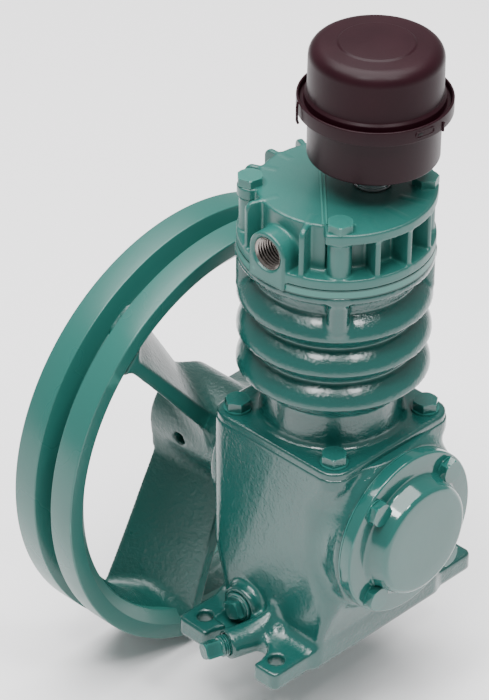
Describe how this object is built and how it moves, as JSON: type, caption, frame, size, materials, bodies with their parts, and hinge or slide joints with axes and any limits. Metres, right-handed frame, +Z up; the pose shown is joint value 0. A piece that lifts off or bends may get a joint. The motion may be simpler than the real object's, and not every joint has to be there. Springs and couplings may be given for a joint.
{
  "type": "belt-driven air compressor pump",
  "caption": "Bare belt-driven air compressor pump: upright finned cylinder on a square crankcase, spoked fan flywheel with a V-groove behind, finned round head, canister intake filter on top.",
  "frame": {"origin": "centre of the underside of the feet, on the cylinder axis", "axes": "+Z up along the cylinder, -Y towards the bearing cover, +Y towards the flywheel, -X towards the discharge port"},
  "size_m": [0.256, 0.1873, 0.4066],
  "materials": {
    "enamel_case": "gloss",
    "enamel_head": "satin",
    "enamel_wheel": "satin",
    "gasket_paper": "matte",
    "black_filter_paint": "satin",
    "filter_felt": "matte",
    "zinc_steel": "satin",
    "bearing_steel": "polished",
    "machined_steel": "machined",
    "black_screw_steel": "black oxide",
    "seal_rubber": "matte",
    "cast_aluminium": "as cast",
    "ring_iron": "ground"
  },
  "bodies": {
    "pump_casting": {"bearing_cover": "enamel_case", "cover_bolts": "enamel_case", "cover_gasket": "gasket_paper", "crankcase": "enamel_case", "cylinder": "enamel_case", "cylinder_base_bolts": "enamel_case", "cylinder_base_gasket": "gasket_paper", "cylinder_head": "enamel_head", "discharge_reed": "machined_steel", "drain_plug": "zinc_steel", "filter_cap": "black_filter_paint", "filter_element": "filter_felt", "filter_nipple": "zinc_steel", "filter_pan": "black_filter_paint", "front_bearing_outer_race": "bearing_steel", "head_bolts": "enamel_head", "head_gasket": "gasket_paper", "head_upper_gasket": "gasket_paper", "intake_reed": "machined_steel", "oil_fill_plug": "enamel_case", "rear_bearing_outer_race": "bearing_steel", "rear_oil_seal": "seal_rubber", "valve_plate": "enamel_head"},
    "crank_and_flywheel": {"crankshaft": "machined_steel", "flywheel": "enamel_wheel", "flywheel_key": "machined_steel", "flywheel_set_screw": "black_screw_steel", "front_bearing_inner_race": "bearing_steel", "rear_bearing_inner_race": "bearing_steel"},
    "connecting_rod_assembly": {"connecting_rod": "cast_aluminium", "rod_cap": "cast_aluminium", "rod_bolts": "machined_steel", "oil_dipper": "machined_steel", "wrist_pin": "machined_steel"},
    "crank_core_plug": {"crank_core_plug": "machined_steel"},
    "piston_assembly": {"piston": "cast_aluminium", "compression_rings": "ring_iron", "oil_ring": "ring_iron"},
    "front_bearing_rolling_set": {"front_bearing_balls": "bearing_steel", "front_bearing_cage": "bearing_steel"},
    "rear_bearing_rolling_set": {"rear_bearing_balls": "bearing_steel", "rear_bearing_cage": "bearing_steel"}
  },
  "joints": [
    {"name": "crank_spin", "type": "hinge", "parent": "pump_casting", "child": "crank_and_flywheel", "pos_m": [0, 0, 0.0786], "axis": [0, 1, 0], "continuous": true},
    {"name": "rod_big_end", "type": "hinge", "parent": "crank_and_flywheel", "child": "connecting_rod_assembly", "pos_m": [0, 0, 0.0946], "axis": [0, 1, 0], "continuous": true},
    {"name": "piston_guide_half_throw", "type": "hinge", "parent": "crank_and_flywheel", "child": "crank_core_plug", "pos_m": [0, 0, 0.0866], "axis": [0, 1, 0], "continuous": true},
    {"name": "piston_guide", "type": "hinge", "parent": "crank_core_plug", "child": "piston_assembly", "pos_m": [0, 0, 0.0946], "axis": [0, 1, 0], "continuous": true},
    {"name": "front_bearing_roll", "type": "hinge", "parent": "pump_casting", "child": "front_bearing_rolling_set", "pos_m": [0, -0.055, 0.0786], "axis": [0, 1, 0], "continuous": true},
    {"name": "rear_bearing_roll", "type": "hinge", "parent": "pump_casting", "child": "rear_bearing_rolling_set", "pos_m": [0, 0.0455, 0.0786], "axis": [0, 1, 0], "continuous": true}
  ],
  "couplings": [
    {"joint": "rod_big_end", "follows": "crank_spin", "ratio": -1},
    {"joint": "piston_guide_half_throw", "follows": "crank_spin", "ratio": -2},
    {"joint": "piston_guide", "follows": "crank_spin", "ratio": 1},
    {"joint": "front_bearing_roll", "follows": "crank_spin", "ratio": 0.3815},
    {"joint": "rear_bearing_roll", "follows": "crank_spin", "ratio": 0.3969}
  ]
}
